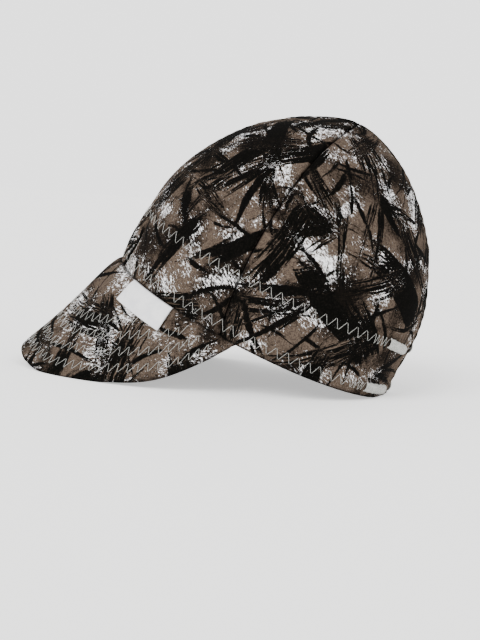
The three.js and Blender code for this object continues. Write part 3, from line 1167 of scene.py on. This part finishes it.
@dataclass
class Crown:
    """The four printed panels of the crown, sewn along tucked seams. Lengths are in millimetres."""

    form: CapForm
    stitches: Stitches
    finish: bpy.types.Material
    columns: int = 168
    outer_rows: int = 190
    hem_rows: int = 8
    inner_rows: int = 190
    tuck_depth: float = 2.0
    tuck_width: float = 1.1
    # The width of the painted shade over the seams' tucks and along the hem.
    crevice_shade_width: float = 0.75
    puff: float = 0.45
    puff_place: float = 3.6
    puff_width: float = 2.6
    seam_pucker: float = 0.32
    pucker_length: float = 1.35
    pucker_sway: float = 2.1
    pucker_sway_length: float = 9.0
    pucker_slant: float = 0.9
    pucker_reach: float = 7.0
    pucker_start: float = 1.5
    row_pull: float = 0.30
    row_pull_width: float = 0.62
    row_pucker: float = 0.20
    row_sway: float = 1.7
    row_sway_length: float = 23
    rim_ease: float = 0.9
    pleat_azimuth: float = 23.5
    pleat_depth: float = 1.3
    pleat_width: float = 1.3
    pleat_top: float = 44
    pleat_fade: float = 14
    wrinkle_count: int = 44
    wrinkle_level: Span = (0.02, 0.92)
    wrinkle_length: Span = (12, 34)
    wrinkle_width: Span = (2.6, 6.5)
    wrinkle_depth: Span = (-0.7, 0.7)
    wrinkle_closing: float = 0.6
    taper: float = 1.6
    point_fade: float = 4
    # How strong the painted shade along the hem and in the crease is, as a share.
    edge_shade: float = 0.8
    weld: float = 0.003
    seeds: tuple[int, ...] = (11, 24, 31, 45)
    print_low: Span = (-75, 0)
    print_high: Span = (75, 200)
    wrinkle_seed: int = 5
    width_grid: tuple[int, int] = (60, 25)
    height_grid: int = 120
    height_azimuth: float = 45.0
    wrinkles: list[Wrinkle] = field(default_factory=list)

    def __post_init__(self) -> None:
        """Draws the small wrinkles of the cloth."""
        rng = np.random.default_rng(self.wrinkle_seed)
        for _ in range(self.wrinkle_count):
            self.wrinkles.append(Wrinkle(
                rng.uniform(0, 360), rng.uniform(*self.wrinkle_level), rng.uniform(0, math.pi),
                rng.uniform(*self.wrinkle_length), rng.uniform(*self.wrinkle_width),
                rng.uniform(*self.wrinkle_depth),
            ))

    @property
    def rows(self) -> int:
        """How many rows a panel has in all."""
        return self.inner_rows + self.hem_rows + self.outer_rows

    def route(self, up: Array) -> tuple[Array, Array, Array]:
        """The way round a panel's section, from its point down the inside, round the hem and up the outside.

        Args:
            up: 0 to 1 along that way.

        Returns:
            The level, the share of the wall's thickness from the outside, and how far the hem hangs, as a
            share.
        """
        inner_end, hem_end = self.inner_rows / self.rows, (self.inner_rows + self.hem_rows) / self.rows
        hem = clamp((up - inner_end) / (hem_end - inner_end))
        on_hem = (up >= inner_end) & (up <= hem_end)
        level = np.where(up < inner_end, 1 - up / inner_end, clamp((up - hem_end) / (1 - hem_end)))
        side = np.where(up < inner_end, 1.0, np.where(up > hem_end, 0.0, 0.5 + 0.5 * np.cos(np.pi * hem)))
        return np.where(on_hem, 0, level), side, np.where(on_hem, np.sin(np.pi * hem), 0.0)

    def widths(self, panel: int, level: Array) -> Array:
        """How wide a panel is at a level, along its cloth.

        Args:
            panel: its place in the order of Panel.
            level: 0 at the rim to 1 at the point.

        Returns:
            The widths, in millimetres.
        """
        levels, shares = (np.linspace(0, 1, count) for count in self.width_grid)
        seams = self.form.seams(levels)
        azimuth = seams[panel][:, None] + (seams[panel + 1] - seams[panel])[:, None] * shares
        spots = self.form.crown_skin(azimuth, np.broadcast_to(levels[:, None], azimuth.shape))
        found = np.linalg.norm(np.diff(spots, axis=1), axis=-1).sum(1)
        return np.interp(level, levels, found)

    def heights(self, level: Array) -> Array:
        """How far a level lies from the rim, along the cloth."""
        levels = np.linspace(0, 1, self.height_grid)
        spots = self.form.crown_skin(np.full_like(levels, self.height_azimuth), levels)
        return np.interp(level, levels, lengths_along(spots))

    def relief(self, azimuth: Array, level: Array, left: Array, right: Array) -> Array:
        """How far the sewn cloth lies inside the plain form, in millimetres.

        Args:
            azimuth: degrees from the front.
            level: 0 at the rim to 1 at the point.
            left: how far the panel's first seam is.
            right: how far its last seam is.

        Returns:
            The inset, negative where the cloth stands proud.
        """
        height = self.form.height(level)
        along = self.heights(level)
        near = np.minimum(left, right)
        inset = (self.tuck_depth * bump(near, self.tuck_width)
                 - self.puff * bump(near - self.puff_place, self.puff_width))
        sway = self.pucker_sway * np.sin(along / self.pucker_sway_length)
        wave = np.sin(along / self.pucker_length + sway + azimuth * self.pucker_slant)
        fade = np.exp(-near / self.pucker_reach)
        inset = inset + self.seam_pucker * wave * fade * clamp(near / self.pucker_start)
        arc = azimuth * self.form.rim_length * math.pi / 360 * self.rim_ease
        swing = self.stitches.crown_swing
        sway = self.row_sway * np.sin(arc / self.row_sway_length)
        ripple = np.sin(arc / self.stitches.crown_cycle * 2 * math.pi + sway)
        for row in self.stitches.crown_rows:
            inset = inset + self.row_pull * bump(height - row, swing * self.row_pull_width)
            inset = inset + self.row_pucker * ripple * bump(height - row, swing)
        inset = inset + self.pleat_depth * self.pleat(azimuth, height)
        for wrinkle in self.wrinkles:
            inset = inset + self.pressed(wrinkle, azimuth, height)
        return inset

    def pressed(self, wrinkle: Wrinkle, azimuth: Array, height: Array) -> Array:
        """How far one small wrinkle presses the cloth in, in millimetres.

        Args:
            wrinkle: the wrinkle.
            azimuth: degrees from the front towards the wearer's left.
            height: how high above the rim, in millimetres.

        Returns:
            The inset.
        """
        closing = 1 - self.wrinkle_closing * wrinkle.level
        x = turn(wrinkle.azimuth, azimuth) * self.form.rim_length * math.pi / 360 * closing
        y = height - wrinkle.level * self.form.crown_height
        ahead, aside = math.cos(wrinkle.way), math.sin(wrinkle.way)
        run = (x * ahead + y * aside) / wrinkle.length
        off = (y * ahead - x * aside) / wrinkle.width
        return wrinkle.depth * np.exp(-run ** 2 - off ** 2)

    def pleat(self, azimuth: Array, height: Array) -> Array:
        """How close a place lies to the sharp crease above the brim, from 0 to 1."""
        across = turn(self.pleat_azimuth, azimuth) * self.form.rim_width * math.pi / 360
        return bump(across, self.pleat_width) * clamp((self.pleat_top - height) / self.pleat_fade)

    def build(self) -> list[bpy.types.Object]:
        """Makes and dresses the panels."""
        return [self.panel(number, panel) for number, panel in enumerate(Panel)]

    def panel(self, number: int, panel: Panel) -> bpy.types.Object:
        """Makes one panel.

        Args:
            number: its place in the order of Panel.
            panel: which one it is.

        Returns:
            The dressed piece.
        """
        form = self.form
        printed = BrushPrint(self.seeds[number], self.print_low, self.print_high)

        def shape(across: Array, up: Array) -> tuple[Array, Array, Array, Array, Array]:
            """Where the panel's grid lies on the cap.

            Args:
                across: shares across the piece, from 0 to 1.
                up: shares up its grid, from 0 to 1.

            Returns:
                Its level, its side of the wall, how far the hem hangs, its azimuth and its width.
            """
            level, side, hem = self.route(up)
            seams = form.seams(level)
            azimuth = seams[number] + (seams[number + 1] - seams[number]) * across
            return level, side, hem, azimuth, self.widths(number, level)

        def place(across: Array, up: Array) -> Array:
            """Sets the panel's grid on the cap.

            Args:
                across: shares across the piece, from 0 to 1.
                up: shares up its grid, from 0 to 1.

            Returns:
                The laid points.
            """
            level, side, hem, azimuth, width = shape(across, up)
            left, right = across * width, (1 - across) * width
            top = self.heights(np.ones(1)) - self.heights(level)
            wall = form.cloth_wall
            for gap in (left, right, top):
                wall = wall * np.sqrt(clamp(gap / self.taper))
            relief = self.relief(azimuth, level, left, right)
            inset = relief * clamp(top / self.point_fade) + side * wall
            spots = form.crown_spot(azimuth, level, inset)
            spots[:, 2] -= hem * wall / 2
            return form.laid(spots)

        def paint(across: Array, up: Array) -> Paint:
            """Prints the panel's cloth and marks the painted shade of its seams' tucks, its hem and its
            crease.

            Args:
                across: shares across the piece, from 0 to 1.
                up: shares up its grid, from 0 to 1.

            Returns:
                What the points carry.
            """
            level, side, _, azimuth, width = shape(across, up)
            flat = np.stack([(across - 0.5) * width, self.heights(level)], -1)
            # Painted shade: darkening towards ink over the seams' tucks, along the hem and in the crease
            # above the brim.
            seam = bump(np.minimum(across, 1 - across) * width, self.crevice_shade_width)
            hem = bump(self.heights(level), self.crevice_shade_width)
            pleat = self.pleat(azimuth, form.height(level))
            brush = printed.paint(flat)
            crevice_shade = np.max([seam, hem * self.edge_shade, pleat * self.edge_shade], axis=0)
            return Paint(flat, {"brush": brush[:, :3], "dry": brush[:, 3], "inner": side, "crevice_shade": crevice_shade})

        piece = cloth_piece(panel.value + "_cloth", (self.columns, self.rows), place, paint, self.weld)
        finish_piece(piece, self.finish, [panel.value])
        self.declare(number)
        return piece

    def declare(self, number: int) -> None:
        """Works out a panel's widths and heights on the cap, and does nothing further with them.

        Args:
            number: its place in the order of Panel.
        """
        levels = np.linspace(0, 1, self.width_grid[0])
        widths, heights = self.widths(number, levels), self.heights(levels)


@dataclass
class Sweatband:
    """The black strip inside the rim. Lengths are in millimetres."""

    form: CapForm
    finish: bpy.types.Material
    height: float = 40
    round: float = 577
    wall: float = 1.1
    ease: float = 0.35
    lift: float = 1.6
    fold_power: float = 0.25
    ripple: float = 0.25
    ripple_length: float = 4.1
    ripple_sway: float = 1.3
    ripple_sway_length: float = 17
    columns: int = 260
    rows: int = 40

    def build(self) -> bpy.types.Object:
        """Makes and dresses the band.

        Returns:
            The dressed piece.
        """
        form = self.form

        def place(across: Array, up: Array) -> Array:
            """Sets the band's grid inside the rim.

            Args:
                across: shares across the piece, from 0 to 1.
                up: shares up its grid, from 0 to 1.

            Returns:
                The laid points.
            """
            turned = 2 * math.pi * up
            high = self.lift + self.height * (0.5 + 0.5 * np.cos(turned))
            side = 0.5 + 0.5 * np.sign(np.sin(turned)) * np.abs(np.sin(turned)) ** self.fold_power
            azimuth = 360 * (across % 1)
            arc = np.radians(azimuth) * form.rim_length / 2
            sway = self.ripple_sway * np.sin(arc / self.ripple_sway_length)
            ripple = self.ripple * np.sin(arc / self.ripple_length + sway)
            inset = (form.cloth_wall + form.band_gap + self.ease + ripple * (high / self.height)
                     + side * self.wall)
            return form.laid(form.crown_spot(azimuth, form.level_at(high), inset))

        def paint(across: Array, up: Array) -> Paint:
            """The places on the flat strip."""
            return Paint(np.stack([across * self.round, self.height * np.cos(2 * math.pi * up)], -1), {})

        piece = cloth_piece("sweatband_cloth", (self.columns, self.rows), place, paint)
        finish_piece(piece, self.finish, ["sweatband"])
        return piece


@dataclass
class Brim:
    """The soft quilted brim, one closed pocket of two cloths. Lengths are in millimetres."""

    form: CapForm
    stitches: Stitches
    finish: bpy.types.Material
    columns: int = 300
    face_rows: int = 90
    edge_rows: int = 12
    quilt: float = 0.62
    quilt_width: float = 3.4
    quilt_start: float = 6
    pucker: float = 0.24
    pucker_width: float = 0.75
    pucker_sway: float = 1.4
    pucker_sway_length: float = 19
    taper: float = 2.2
    half_round: float = 150
    degree: float = 1.75
    edge_round: float = 2.4
    edge_share: float = 0.35
    edge_thinning: float = 0.28
    edge_thin_width: float = 4.0
    root_lift: float = 1.0
    root_reach: float = 3.0
    # The widths and share of the painted shade at the brim's root and along its free edge.
    root_shade: float = 1.4
    edge_shade: float = 0.9
    edge_shade_share: float = 0.6
    fill: float = 0.2
    seed: int = 52
    print_low: Span = (-150, 0)
    print_high: Span = (150, 95)
    print_degree: float = 1.63

    def relief(self, azimuth: Array, edge_gap: Array, arc: Array) -> Array:
        """How far the quilting presses a face in, in millimetres.

        Args:
            azimuth: degrees from the front towards the wearer's left.
            edge_gap: how far from the free edge, in millimetres.
            arc: how far round the brim, in millimetres.

        Returns:
            The inset.
        """
        inset = np.zeros_like(azimuth)
        for row in self.stitches.brim_rows:
            inset = inset + self.quilt * bump(edge_gap - row, self.quilt_width)
            sway = self.pucker_sway * np.sin(arc / self.pucker_sway_length + row)
            ripple = np.sin(arc / self.stitches.brim_cycle * 2 * math.pi + sway)
            width = self.stitches.brim_swing * self.pucker_width
            inset = inset + self.pucker * ripple * bump(edge_gap - row, width)
        return inset

    def build(self) -> bpy.types.Object:
        """Makes and dresses the brim.

        Returns:
            The dressed piece.
        """
        form = self.form
        printed = BrushPrint(self.seed, self.print_low, self.print_high)

        def shape(across: Array) -> tuple[Array, Array]:
            """The azimuths across the brim and its depths there."""
            azimuth = (2 * across - 1) * form.brim_half_span
            return azimuth, form.brim_shape(azimuth)[0]

        def place(across: Array, up: Array) -> Array:
            """Sets the brim's grid on the cap.

            Args:
                across: shares across the piece, from 0 to 1.
                up: shares up its grid, from 0 to 1.

            Returns:
                The laid points.
            """
            azimuth, depth = shape(across)
            reach, side, out = over_edge(up, self.face_rows, self.edge_rows)
            end_gap = (1 - np.abs(2 * across - 1)) * self.half_round
            root_gap, edge_gap = reach * depth, (1 - reach) * depth
            thin = np.sqrt(clamp(root_gap / self.taper)) * np.sqrt(clamp(end_gap / self.taper))
            wall = form.brim_wall * thin * (1 - self.edge_thinning * bump(edge_gap, self.edge_thin_width))
            pressed = (self.relief(azimuth, edge_gap, azimuth * self.degree)
                       * clamp(root_gap / self.quilt_start))
            inset = (form.brim_wall / 2 + (side - 0.5) * wall
                     + np.where(side < 0.5, 1, -1) * pressed * np.abs(2 * side - 1))
            drop = self.edge_round * self.edge_share * out * thin
            spots = form.brim_spot(azimuth, reach + drop / np.maximum(depth, 1), inset)
            spots[:, 2] += self.root_lift * clamp(1 - root_gap / self.root_reach)
            return form.laid(spots)

        def paint(across: Array, up: Array) -> Paint:
            """Prints the brim's cloth and marks the painted shade at its root under the crown and along its
            free edge.

            Args:
                across: shares across the piece, from 0 to 1.
                up: shares up its grid, from 0 to 1.

            Returns:
                What the points carry.
            """
            azimuth, depth = shape(across)
            reach, _, _ = over_edge(up, self.face_rows, self.edge_rows)
            flat = np.stack([azimuth * self.print_degree, reach * depth], -1)
            brush = printed.paint(flat)
            # Painted shade: darkening towards ink at the brim's root under the crown and along its free edge.
            edge = self.edge_shade_share * bump((1 - reach) * depth, self.edge_shade)
            return Paint(flat, {"brush": brush[:, :3], "dry": brush[:, 3], "inner": np.zeros_like(across),
                                "crevice_shade": np.maximum(bump(reach * depth, self.root_shade), edge)})

        rows = 2 * self.face_rows + self.edge_rows
        piece = cloth_piece("brim_cloth", (self.columns, rows), place, paint)
        finish_piece(piece, self.finish, ["brim"])
        return piece


@dataclass
class Label:
    """The folded white label in the brim's seam, left bare. Lengths are in millimetres."""

    form: CapForm
    finish: bpy.types.Material
    length: float = 39
    drop: float = 17
    wall: float = 0.9
    centre: float = 55.4
    free_lift: float = 0.9
    lift_shares: Span = (0.6, 0.4)
    taper: float = 0.5
    stand_off: float = 0.35
    columns: int = 60
    face_rows: int = 24
    edge_rows: int = 6

    def build(self) -> bpy.types.Object:
        """Makes and dresses the label.

        Returns:
            The dressed piece.
        """
        form = self.form
        half_turn = self.length / 2 / form.rim_pitch(self.centre)

        def place(across: Array, up: Array) -> Array:
            """Sets the label's grid against the brim.

            Args:
                across: shares across the piece, from 0 to 1.
                up: shares up its grid, from 0 to 1.

            Returns:
                The laid points.
            """
            azimuth = self.centre + half_turn * (2 * across - 1)
            depth, _ = form.brim_shape(azimuth)
            share, side, out = over_edge(up, self.face_rows, self.edge_rows)
            ends = np.sqrt(clamp((1 - np.abs(2 * across - 1)) * self.length / 2 / self.taper))
            wall = self.wall * ends * np.sqrt(clamp(share * self.drop / self.taper))
            lifted = self.free_lift * share ** 2 * (self.lift_shares[0] + self.lift_shares[1] * across)
            drop = share * self.drop + out * wall / 2
            inset = -form.seam_gap - self.stand_off - lifted - self.wall / 2 + (side - 0.5) * wall
            return form.laid(form.brim_spot(azimuth, drop / depth, inset))

        def paint(across: Array, up: Array) -> Paint:
            """The places on the flat ribbon."""
            share = np.minimum(up, 1 - up) * 2
            return Paint(np.stack([across * self.length, share * self.drop], -1), {})

        rows = 2 * self.face_rows + self.edge_rows
        piece = cloth_piece("label_ribbon", (self.columns, rows), place, paint)
        finish_piece(piece, self.finish, ["label"])
        return piece


@dataclass
class BarTacks:
    """The dense satin stitches that end the crown's rows beside the back seam, in millimetres."""

    form: CapForm
    stitches: Stitches
    finish: bpy.types.Material
    length: float = 30
    height: float = 6.6
    wall: float = 1.15
    from_seam: float = 9.4
    droops: tuple[float, float] = (1.2, 3.8)
    pitch: float = 0.66
    pitch_slip: Span = (-0.08, 0.08)
    slope: float = 0.45
    slope_slip: Span = (-0.25, 0.25)
    height_slip: Span = (-0.35, 0.35)
    sink: float = 0.5
    arch: float = 0.6
    arch_power: float = 0.45
    points: int = 7
    thread_radius: float = 0.36
    seed: int = 8

    def build(self) -> list[bpy.types.Object]:
        """Makes and dresses the four tacks.

        Returns:
            The dressed pieces.
        """
        rows = list(zip(("lower", "upper"), self.stitches.crown_rows, self.droops))
        return [
            self.tack(f"bar_tack_{side}_{row}", height, droop, towards)
            for side, towards in (("left", -1), ("right", 1))
            for row, height, droop in rows
        ]

    def tack(self, node: str, height: float, droop: float, towards: int) -> bpy.types.Object:
        """Makes one tack.

        Args:
            node: the solid that it stands for.
            height: how high above the rim it lies where its row ends.
            droop: how much lower its end beside the seam lies.
            towards: -1 on the wearer's left of the back seam, 1 on the right.

        Returns:
            The dressed piece.
        """
        form = self.form
        per_mm = 1 / form.rim_pitch(form.back_seam)
        rng = np.random.default_rng(self.seed)
        count = int(self.length / self.pitch)
        share = np.linspace(0, 1, self.points)
        rise = -self.sink + (self.wall + self.arch) * np.sin(np.pi * share) ** self.arch_power
        runs = []
        for stitch in range(count):
            along = self.from_seam + (stitch + 0.5) * self.pitch + rng.uniform(*self.pitch_slip)
            slope = rng.uniform(*self.slope_slip) + self.slope
            drop = droop * (1 - (stitch + 0.5) / count)
            high = height - drop + (share - 0.5) * (self.height + rng.uniform(*self.height_slip))
            azimuth = form.back_seam + towards * (along + slope * (share - 0.5)) * per_mm
            runs.append(form.laid(form.crown_spot(azimuth, form.level_at(high), -rise)))
        piece = thread_piece(node + "_stitches", runs, self.thread_radius)
        return finish_piece(piece, self.finish, [node])


@dataclass
class Seams:
    """The zigzag rows round the crown and along the brim, on both sides of the cloth."""

    form: CapForm
    stitches: Stitches
    crown: Crown
    band: Sweatband
    brim: Brim
    tacks: BarTacks
    finish: bpy.types.Material
    crown_seed: int = 3
    brim_seed: int = 13
    crown_grid: int = 1441
    brim_grid: int = 921
    brim_end: float = 1.5

    def build(self) -> list[bpy.types.Object]:
        """Makes and dresses every row.

        Returns:
            The dressed pieces.
        """
        pieces = []
        for face in Face:
            for number, height in enumerate(self.stitches.crown_rows):
                pieces.append(self.crown_row(number, height, face))
            for number, gap in enumerate(self.stitches.brim_rows):
                pieces.append(self.brim_row(number, gap, face))
        return pieces

    def crown_row(self, number: int, height: float, face: Face) -> bpy.types.Object:
        """Makes one row round the crown, from tack to tack by way of the front.

        Args:
            number: the row's number from the rim.
            height: how high above the rim it runs.
            face: the side of the cloth.

        Returns:
            The dressed piece.
        """
        form = self.form
        rng = np.random.default_rng(self.crown_seed + number)
        level = float(form.level_at(np.array(height)))
        azimuths = np.linspace(form.back_seam - 360, form.back_seam, self.crown_grid)
        arc = lengths_along(form.crown_skin(azimuths, level))
        skip = self.tacks.from_seam + self.tacks.length
        along, across, rise = self.stitches.zigzag(
            arc[-1] - 2 * skip, self.stitches.crown_cycle, self.stitches.crown_swing, rng, locked=True
        )
        azimuth = np.interp(along + skip, arc, azimuths)
        levels = form.level_at(height + across)
        if face is Face.OUTSIDE:
            around = azimuth % 360
            near = np.min([np.abs(turn(seam, around)) for seam in form.seams(levels)], axis=0) * arc[-1] / 360
            near = np.maximum(near, self.stitches.seam_bridge)
            inset = self.crown.relief(around, levels, near, near) - rise
        else:
            inset = form.cloth_wall + form.band_gap + self.band.ease + self.band.wall + rise
        return self.sewn("crown", number, face, form.crown_spot(azimuth, levels, inset))

    def brim_row(self, number: int, gap: float, face: Face) -> bpy.types.Object:
        """Makes one row along the brim.

        Args:
            number: the row's number from the free edge.
            gap: how far from the free edge it runs.
            face: the side of the brim.

        Returns:
            The dressed piece.
        """
        form = self.form
        rng = np.random.default_rng(self.brim_seed + number)
        azimuths = np.linspace(-form.brim_half_span, form.brim_half_span, self.brim_grid)
        depth, _ = form.brim_shape(azimuths)
        azimuths = azimuths[depth > gap + self.stitches.brim_swing / 2 + self.brim_end]
        depth, _ = form.brim_shape(azimuths)
        arc = lengths_along(form.brim_spot(azimuths, 1 - gap / depth, 0.0))
        along, across, rise = self.stitches.zigzag(
            arc[-1], self.stitches.brim_cycle, self.stitches.brim_swing, rng
        )
        azimuth = np.interp(along, arc, azimuths)
        depth, _ = form.brim_shape(azimuth)
        edge_gap = gap + across
        pressed = self.brim.relief(azimuth, edge_gap, azimuth * self.brim.degree)
        inset = pressed - rise if face is Face.OUTSIDE else form.brim_wall - pressed + rise
        return self.sewn("brim", number, face, form.brim_spot(azimuth, 1 - edge_gap / depth, inset))

    def sewn(self, part: str, number: int, face: Face, spots: Array) -> bpy.types.Object:
        """Makes and dresses one row's thread.

        Args:
            part: the part of the cap that the row is on.
            number: the row's number on it.
            face: the side of the cloth.
            spots: the thread's points, in the cap's own frame.

        Returns:
            The dressed piece.
        """
        name = f"{part}_row_{number + 1}_{face.name.lower()}"
        piece = thread_piece(name, [self.form.laid(spots)], self.stitches.thread_radius)
        return finish_piece(piece, self.finish)


class Lamp(NamedTuple):
    """A far lamp: the direction that it stands in, its power and how many degrees of the sky it fills."""

    name: str
    away: Spot
    power: float
    softness: float


@dataclass
class Studio:
    """The pale floor, the soft light and the camera at the photograph's angle. Lengths are in millimetres."""

    target: Spot = (0, 0, 90)
    azimuth: float = 13.0
    elevation: float = 2.38
    roll: float = 4.18
    distance: float = 822.8
    lens: float = 67.5
    sensor: float = 36
    picture: tuple[int, int] = (480, 640)
    target_pixel: tuple[float, float] = (228.9, 244.6)
    clip_metres: Span = (0.01, 100)
    floor_metres: float = 30
    floor_gap: float = 0.2
    floor_colour: Colour = srgb(246, 246, 245)
    floor_rough: float = 0.85
    floor_shine: float = 0.1
    floor_glow: float = 0.6
    room_light: float = 1.15
    room_seen: float = 2.35
    lamps: tuple[Lamp, ...] = (
        Lamp("key", (-0.45, -1.1, 1.0), 3.0, 35),
        Lamp("side", (1.2, -0.6, 0.8), 0.5, 50),
        Lamp("back", (0.3, 1.2, 1.0), 0.6, 50),
    )

    def build(self) -> None:
        """Makes the floor, the lights and the camera."""
        self.floor()
        self.lights()
        self.camera()

    def floor(self) -> None:
        """A wide pale floor just under the cap."""
        bpy.ops.object.select_all(action="DESELECT")
        bpy.ops.mesh.primitive_plane_add(size=self.floor_metres, location=(0, 0, -self.floor_gap * MM))
        plane = bpy.context.active_object
        plane.name = "floor"
        g = Graph("floor")
        g.set(Base_Color=self.floor_colour, Roughness=self.floor_rough, Specular_IOR_Level=self.floor_shine,
              Emission_Color=(1, 1, 1, 1), Emission_Strength=self.floor_glow)
        plane.data.materials.append(g.material)

    def lights(self) -> None:
        """A broad key from above the camera, a softer one on each side, and a bright room."""
        self.room()
        for name, away, power, softness in self.lamps:
            data = bpy.data.lights.new(name, "SUN")
            data.energy, data.angle = power, math.radians(softness)
            lamp = bpy.data.objects.new(name, data)
            bpy.context.scene.collection.objects.link(lamp)
            lamp.location = away
            self.aim(lamp, np.array(away))

    def room(self) -> None:
        """The white room: what it sheds on the cap, and what shows of it behind the floor's far edge."""
        world = bpy.data.worlds.new("room")
        bpy.context.scene.world = world
        world.use_nodes = True
        tree = world.node_tree
        shed = tree.nodes["Background"]
        seen = tree.nodes.new("ShaderNodeBackground")
        for node, strength in ((shed, self.room_light), (seen, self.room_seen)):
            node.inputs["Color"].default_value = (1, 1, 1, 1)
            node.inputs["Strength"].default_value = strength
        ray = tree.nodes.new("ShaderNodeLightPath")
        either = tree.nodes.new("ShaderNodeMixShader")
        tree.links.new(ray.outputs["Is Camera Ray"], either.inputs[0])
        tree.links.new(shed.outputs[0], either.inputs[1])
        tree.links.new(seen.outputs[0], either.inputs[2])
        tree.links.new(either.outputs[0], tree.nodes["World Output"].inputs["Surface"])

    def aim(self, thing: bpy.types.Object, away: Array, roll: float = 0.0) -> None:
        """Turns a lamp or camera to look against a direction.

        Args:
            thing: what is turned.
            away: from the target to the thing.
            roll: how far it leans over, in radians.
        """
        away = away / np.linalg.norm(away)
        right = np.cross((0, 0, 1), away)
        right /= np.linalg.norm(right)
        up = np.cross(away, right)
        turned_right = right * math.cos(roll) + up * math.sin(roll)
        turned_up = up * math.cos(roll) - right * math.sin(roll)
        columns = np.stack([turned_right, turned_up, away, np.array(thing.location)], -1)
        matrix = thing.matrix_world.copy()
        for row in range(3):
            matrix[row][:] = [float(value) for value in columns[row]]
        thing.matrix_world = matrix

    def camera(self) -> None:
        """A camera that sees the cap as the photograph does."""
        azimuth, elevation = math.radians(self.azimuth), math.radians(self.elevation)
        level = math.cos(elevation)
        away = np.array([math.sin(azimuth) * level, -math.cos(azimuth) * level, math.sin(elevation)])
        data = bpy.data.cameras.new("camera")
        data.lens, data.sensor_width = self.lens, self.sensor
        width, height = self.picture
        data.shift_x = (width / 2 - self.target_pixel[0]) / height
        data.shift_y = (self.target_pixel[1] - height / 2) / height
        data.clip_start, data.clip_end = self.clip_metres
        camera = bpy.data.objects.new("camera", data)
        bpy.context.scene.collection.objects.link(camera)
        camera.location = (np.array(self.target) + away * self.distance) * MM
        self.aim(camera, away, math.radians(self.roll))
        bpy.context.scene.camera = camera


def main() -> None:
    """Builds the cap's pieces in order, then the studio."""
    logging.basicConfig(level=logging.INFO, format="%(name)s: %(message)s")
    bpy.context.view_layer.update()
    form = CapForm()
    log.info("lean %.2f degrees, shift %s", math.degrees(form.lean), form.shift)
    stitches = Stitches()
    cotton = PrintedCotton().material()
    band_cotton = PlainCloth("band_cotton", srgb(27, 27, 27), srgb(38, 37, 36)).material()
    ribbon = PlainCloth("label_weave", srgb(236, 236, 236), srgb(222, 223, 225),
                        threads_per_cm=30, rough=0.6, sheen=0.1).material()
    thread = Thread().material()
    crown = Crown(form, stitches, cotton)
    crown.build()
    band = Sweatband(form, band_cotton)
    band.build()
    brim = Brim(form, stitches, cotton)
    brim.build()
    Label(form, ribbon).build()
    tacks = BarTacks(form, stitches, thread)
    tacks.build()
    Seams(form, stitches, crown, band, brim, tacks, thread).build()
    Studio().build()


if __name__ == "__main__":
    main()
